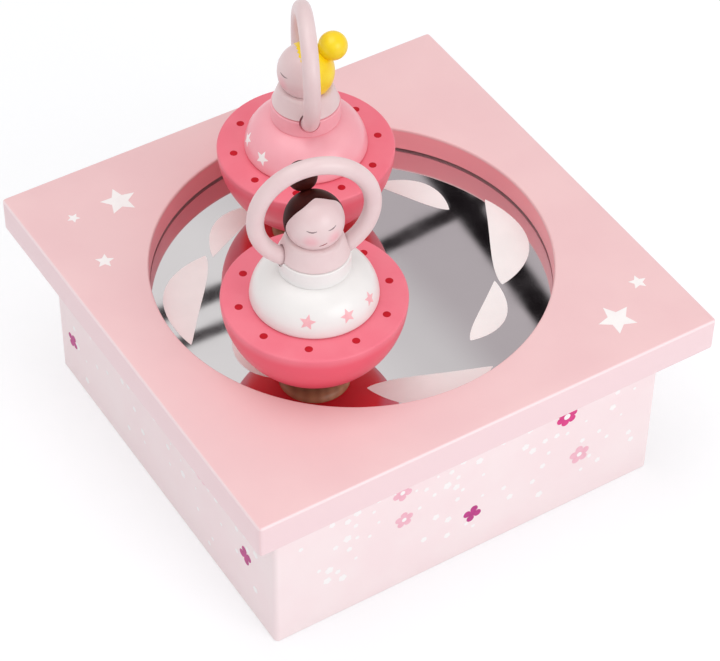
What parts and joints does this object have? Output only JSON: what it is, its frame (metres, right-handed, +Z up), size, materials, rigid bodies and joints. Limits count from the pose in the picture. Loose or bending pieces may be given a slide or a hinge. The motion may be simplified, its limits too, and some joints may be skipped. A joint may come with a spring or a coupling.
{
  "type": "dancer music box",
  "caption": "Square wind-up music box whose round mirror stage carries loose wooden dancers, led round and spun by magnets on a spring movement under the mirror.",
  "frame": {"origin": "middle of the square that the box's bottom rim stands on", "axes": "+Z up out of the stage; -Y out of the front wall, the brighter printed side in the picture; +X to the right of someone who faces the front wall"},
  "size_m": [0.16, 0.16, 0.1437],
  "materials": {
    "wall_print": "satin printed lacquer, pale pink",
    "plate_lacquer": "satin lacquer, soft pink",
    "mirror": "silvered glass",
    "floor_wood": "plain board",
    "bare_wood": "clear varnish",
    "steel": "bright",
    "magnet": "nickel plated",
    "zinc": "die-cast zinc",
    "brass": "turned",
    "arm_plastic": "moulded",
    "coral_paint": "gloss paint, coral",
    "white_paint": "gloss paint, white with pink stars",
    "pink_paint": "gloss paint, pink with white stars",
    "skin_paint": "satin paint, pale skin",
    "brown_paint": "gloss paint, dark brown",
    "yellow_paint": "gloss paint, yellow"
  },
  "bodies": {
    "box": {"front_wall": "wall_print", "right_wall": "wall_print", "rear_wall": "wall_print", "left_wall": "wall_print", "top_plate": "plate_lacquer", "mirror": "mirror", "floor_board": "floor_wood", "corner_blocks": "bare_wood", "floor_screws": "steel", "bedplate": "zinc", "bed_screws": "steel", "left_bearing": "brass", "right_bearing": "brass", "governor_bearing": "brass", "bearing_screws": "steel", "governor_cock": "brass", "cock_screw": "steel", "comb": "steel", "comb_screws": "steel", "click": "steel", "click_screw": "steel"},
    "winding": {"winding_arbor": "steel", "ratchet_wheel": "brass", "winding_key": "steel"},
    "barrel": {"spring_barrel": "brass", "barrel_lid": "brass", "mainspring": "steel", "drive_spindle": "steel", "magnet_arm": "arm_plastic", "arm_magnets": "magnet", "arm_nut": "steel"},
    "cylinder": {"cylinder_sleeve": "brass", "cylinder_ends": "brass", "cylinder_axle": "steel", "cylinder_pinion": "brass", "cylinder_gear": "brass"},
    "governor_wheel": {"governor_arbor": "steel", "worm_wheel": "brass"},
    "governor": {"worm_spindle": "steel", "fly": "brass"},
    "front_dancer": {"front_dancer_foot": "bare_wood", "front_dancer_magnet": "magnet", "front_dancer_bowl": "coral_paint", "front_dancer_skirt": "white_paint", "front_dancer_bust": "skin_paint", "front_dancer_arms": "skin_paint", "front_dancer_head": "skin_paint", "front_dancer_bun": "brown_paint", "front_dancer_dowel": "bare_wood"},
    "rear_dancer": {"rear_dancer_foot": "bare_wood", "rear_dancer_magnet": "magnet", "rear_dancer_bowl": "coral_paint", "rear_dancer_skirt": "pink_paint", "rear_dancer_bust": "skin_paint", "rear_dancer_arms": "skin_paint", "rear_dancer_head": "skin_paint", "rear_dancer_bun": "yellow_paint", "rear_dancer_dowel": "bare_wood"}
  },
  "joints": [
    {"name": "key_turn", "type": "hinge", "parent": "box", "child": "winding", "pos_m": [0, 0, 0.0045], "axis": [0, 0, 1], "continuous": true},
    {"name": "barrel_turn", "type": "hinge", "parent": "box", "child": "barrel", "pos_m": [0, 0, 0.0276], "axis": [0, 0, 1], "continuous": true},
    {"name": "cylinder_turn", "type": "hinge", "parent": "box", "child": "cylinder", "pos_m": [0.0188, 0, 0.0333], "axis": [1, 0, 0], "continuous": true},
    {"name": "governor_wheel_turn", "type": "hinge", "parent": "box", "child": "governor_wheel", "pos_m": [0.0416, 0.01, 0.0333], "axis": [1, 0, 0], "continuous": true},
    {"name": "governor_turn", "type": "hinge", "parent": "box", "child": "governor", "pos_m": [0.0451, 0.0168, 0.0333], "axis": [0, 0, 1], "continuous": true},
    {"name": "front_dancer_spin", "type": "hinge", "parent": "barrel", "child": "front_dancer", "pos_m": [-0.02916, -0.02589, 0.061], "axis": [0, 0, 1], "continuous": true},
    {"name": "rear_dancer_spin", "type": "hinge", "parent": "barrel", "child": "rear_dancer", "pos_m": [0.00291, 0.03197, 0.061], "axis": [0, 0, 1], "continuous": true}
  ],
  "couplings": [
    {"joint": "cylinder_turn", "follows": "barrel_turn", "ratio": 4},
    {"joint": "governor_wheel_turn", "follows": "barrel_turn", "ratio": -12},
    {"joint": "governor_turn", "follows": "barrel_turn", "ratio": 240}
  ]
}
